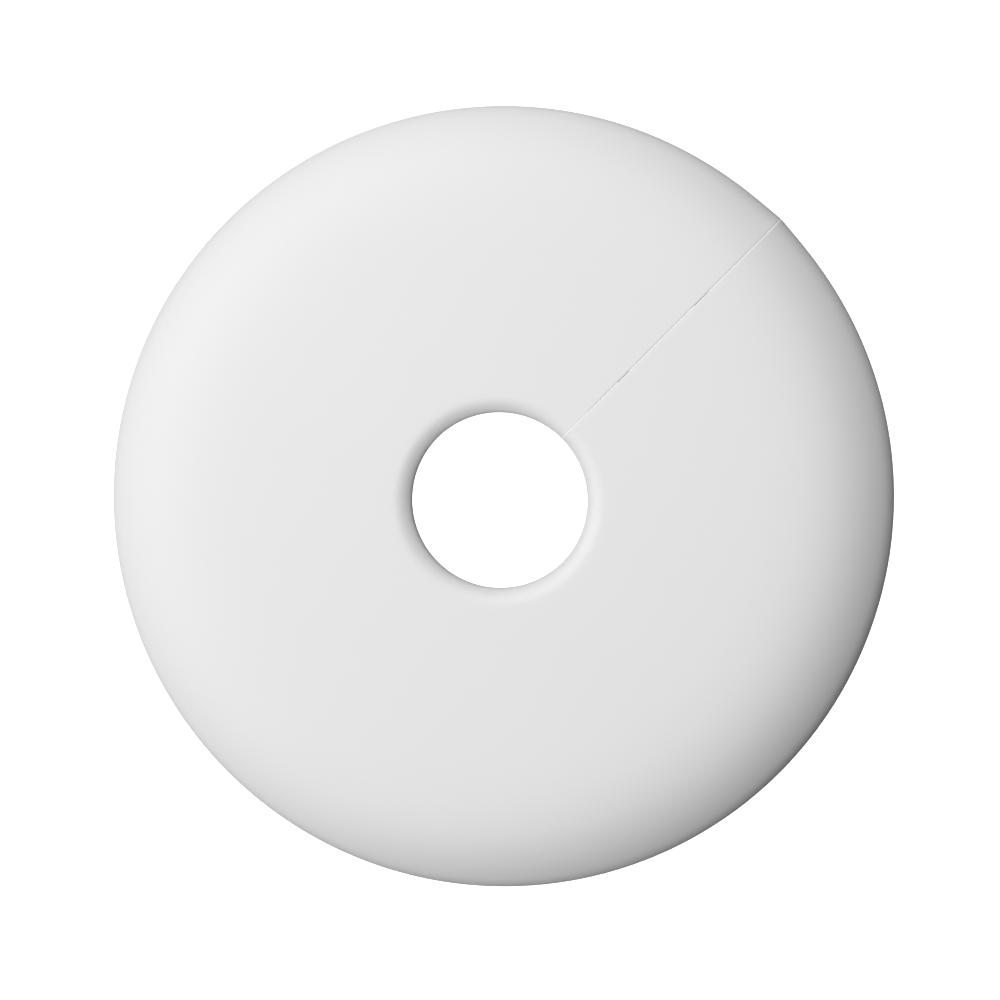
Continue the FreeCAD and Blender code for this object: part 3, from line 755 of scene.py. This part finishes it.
@once
def latch_plastic():
    """Moulded acetal: off-white, slightly waxy."""
    made, nodes, links, shader = material("latch_plastic", (0.72, 0.72, 0.70), 0.40)
    flow = object_noise(nodes, links, 400.0, detail=3.0)
    colour_between(nodes, links, flow.outputs["Fac"], (0.69, 0.69, 0.66), (0.75, 0.75, 0.73), shader)
    range_to(nodes, links, flow.outputs["Fac"], 0.34, 0.46, shader.inputs["Roughness"])
    bump(nodes, links, flow.outputs["Fac"], 0.1, 0.02 * MM, shader)
    return made


@once
def steel():
    """Bright zinc plating with a fine grain."""
    made, nodes, links, shader = material("steel", (0.55, 0.56, 0.57), 0.3, metallic=1.0)
    grain = object_noise(nodes, links, 5000.0, detail=4.0)
    colour_between(nodes, links, grain.outputs["Fac"], (0.50, 0.51, 0.53), (0.60, 0.61, 0.62), shader)
    range_to(nodes, links, grain.outputs["Fac"], 0.22, 0.38, shader.inputs["Roughness"])
    bump(nodes, links, grain.outputs["Fac"], 0.12, 0.006 * MM, shader)
    return made


@once
def spring_steel():
    """Rolled strip with long scratches."""
    made, nodes, links, shader = material("spring_steel", (0.42, 0.43, 0.45), 0.32, metallic=1.0)
    scratch = object_noise(nodes, links, 7000.0, detail=4.0, stretch=(1.0, 0.04, 1.0))
    colour_between(nodes, links, scratch.outputs["Fac"], (0.38, 0.39, 0.41), (0.46, 0.47, 0.49), shader)
    range_to(nodes, links, scratch.outputs["Fac"], 0.22, 0.42, shader.inputs["Roughness"])
    bump(nodes, links, scratch.outputs["Fac"], 0.15, 0.005 * MM, shader)
    return made


half_shell("fixed_half_dome", 1, fixed_details(), "fixed_half_shell")
half_shell("swing_half_dome", -1, swing_details(), "swing_half_shell")
foam_ring("fixed_foam", 1, "fixed_foam_ring")
foam_ring("swing_foam", -1, "swing_foam_ring")
release_liner("fixed_liner", 1, "fixed_release_liner")
release_liner("swing_liner", -1, "swing_release_liner")
hinge_profile("film_hinge", "hinge_strip")
leaf_spring("leaf_spring", "latch_spring")
dress("latch_pawl", latch_plastic, 0.2 * MM)
dress("latch_pivot_screw", steel, 0.15 * MM)
dress("keeper_pin", steel, 0.2 * MM)
dress("locating_dowels", steel, 0.2 * MM)


# ------------------------------------------------------------ stage and light
ROOM_RADIUS = 4.5          # metres
ROOM_LEVEL = 1.7           # overexposed, so that it wraps a little round the edges in front of it
FLOOR_DROP = 0.05 * MM     # keeps the floor clear of the plate's rear plane


def room():
    """White floor running into a white surround, seen by the camera only."""
    bm = bmesh.new()
    bmesh.ops.create_uvsphere(bm, u_segments=64, v_segments=32, radius=ROOM_RADIUS)
    lower = [vert for vert in bm.verts if vert.co.z < -1e-4]
    bmesh.ops.delete(bm, geom=lower, context="VERTS")
    surround = new_object("surround", bm)
    bm = bmesh.new()
    bmesh.ops.create_circle(bm, cap_ends=True, radius=ROOM_RADIUS, segments=64)
    ground = new_object("floor", bm)
    for made, look in ((surround, card("surround_card")), (ground, card("floor_card", see_through=True))):
        made.location.z = -FLOOR_DROP
        made.data.materials.append(look)
        for ray in ("visible_diffuse", "visible_glossy", "visible_transmission", "visible_shadow"):
            setattr(made, ray, False)


def card(name, see_through=False):
    """Evenly bright white card; a see-through one can be looked through from behind."""
    made, nodes, links, shader = material(name, (0.02, 0.02, 0.02), 1.0)
    shader.inputs["Emission Color"].default_value = (1.0, 1.0, 1.0, 1.0)
    shader.inputs["Emission Strength"].default_value = ROOM_LEVEL
    if see_through:
        facing = nodes.new("ShaderNodeNewGeometry")
        clear = nodes.new("ShaderNodeBsdfTransparent")
        mix = nodes.new("ShaderNodeMixShader")
        links.new(facing.outputs["Backfacing"], mix.inputs[0])
        links.new(shader.outputs["BSDF"], mix.inputs[1])
        links.new(clear.outputs["BSDF"], mix.inputs[2])
        links.new(mix.outputs["Shader"], nodes["Material Output"].inputs["Surface"])
    return made


LIGHT_AZIMUTH = 103.4      # about Z from +X, in degrees
LIGHT_TILT = 71.7          # away from the bore axis
LIGHT_EDGE = (-0.437, 0.134)      # cosines between which the bright side comes in
LIGHT_LEVEL = 1.39
LOW_LIGHT = (-0.361, 0.749, 0.547)      # heights between which it dims downwards, and what is left
SIDE_DIP = 0.217           # how much dimmer it is along the light's azimuth than across it


def studio():
    """A surround that is brighter towards one side and dims towards the floor, as in a light tent."""
    world = bpy.data.worlds.new("studio")
    bpy.context.scene.world = world
    world.use_nodes = True
    nodes = world.node_tree.nodes
    links = world.node_tree.links
    azimuth = math.radians(LIGHT_AZIMUTH)
    tilt = math.radians(LIGHT_TILT)
    level = (math.cos(azimuth), math.sin(azimuth), 0.0)
    place = nodes.new("ShaderNodeTexCoord").outputs["Generated"]

    def along(direction):
        made = nodes.new("ShaderNodeVectorMath")
        made.operation = "DOT_PRODUCT"
        made.inputs[1].default_value = direction
        links.new(place, made.inputs[0])
        return made.outputs["Value"]

    def ramp(factor, start, end, low, high):
        made = nodes.new("ShaderNodeMapRange")
        made.interpolation_type = "SMOOTHSTEP"
        for name, number in (("From Min", start), ("From Max", end), ("To Min", low), ("To Max", high)):
            made.inputs[name].default_value = number
        links.new(factor, made.inputs["Value"])
        return made.outputs["Result"]

    def times(first, second):
        made = nodes.new("ShaderNodeMath")
        made.operation = "MULTIPLY"
        links.new(first, made.inputs[0])
        links.new(second, made.inputs[1])
        return made.outputs["Value"]

    towards = along((math.sin(tilt) * level[0], math.sin(tilt) * level[1], math.cos(tilt)))
    bright = ramp(towards, *LIGHT_EDGE, 0.0, LIGHT_LEVEL)
    floor_start, floor_end, left = LOW_LIGHT
    upper = ramp(along((0.0, 0.0, 1.0)), floor_start, floor_end, left, 1.0)
    side = along(level)
    dip = nodes.new("ShaderNodeMapRange")
    dip.inputs["To Min"].default_value = 1.0
    dip.inputs["To Max"].default_value = 1.0 - SIDE_DIP
    links.new(times(side, side), dip.inputs["Value"])
    strength = times(times(bright, upper), dip.outputs["Result"])
    links.new(strength, nodes["Background"].inputs["Strength"])
    nodes["Background"].inputs["Color"].default_value = (1.0, 1.0, 1.0, 1.0)


# ------------------------------------------------------------------- camera
CAMERA_DISTANCE = 1.5
CAMERA_TILT = 4.13         # towards the seam, in degrees
SEAM_AT = 45.0             # where +X points in the picture, from the right, in degrees
FIELD = 125.93 * MM        # what the picture spans at the outline
AIM = 0.11 * MM            # how far towards the seam the picture's middle is


def camera():
    """Looks down the bore, leaning a little towards the seam."""
    data = bpy.data.cameras.new("camera")
    made = bpy.data.objects.new("camera", data)
    bpy.context.scene.collection.objects.link(made)
    tilt = math.radians(CAMERA_TILT)
    turn = math.radians(SEAM_AT)
    back = Vector((math.sin(tilt), 0.0, math.cos(tilt)))
    rim = Vector((math.cos(tilt), 0.0, -math.sin(tilt)))      # the picture's 45 degree direction
    side = back.cross(rim)
    right = rim * math.cos(turn) - side * math.sin(turn)
    up = rim * math.sin(turn) + side * math.cos(turn)
    target = Vector((AIM, 0, CREST - DOME_ARCS[0][0]))
    pose = Matrix((right, up, back)).transposed().to_4x4()
    pose.translation = target + back * CAMERA_DISTANCE
    made.matrix_world = pose
    data.sensor_width = 36.0
    data.lens = data.sensor_width * CAMERA_DISTANCE / FIELD
    data.clip_start = 0.1
    data.clip_end = 50.0
    bpy.context.scene.camera = made


room()
studio()
camera()
bpy.context.scene.view_settings.view_transform = "Standard"
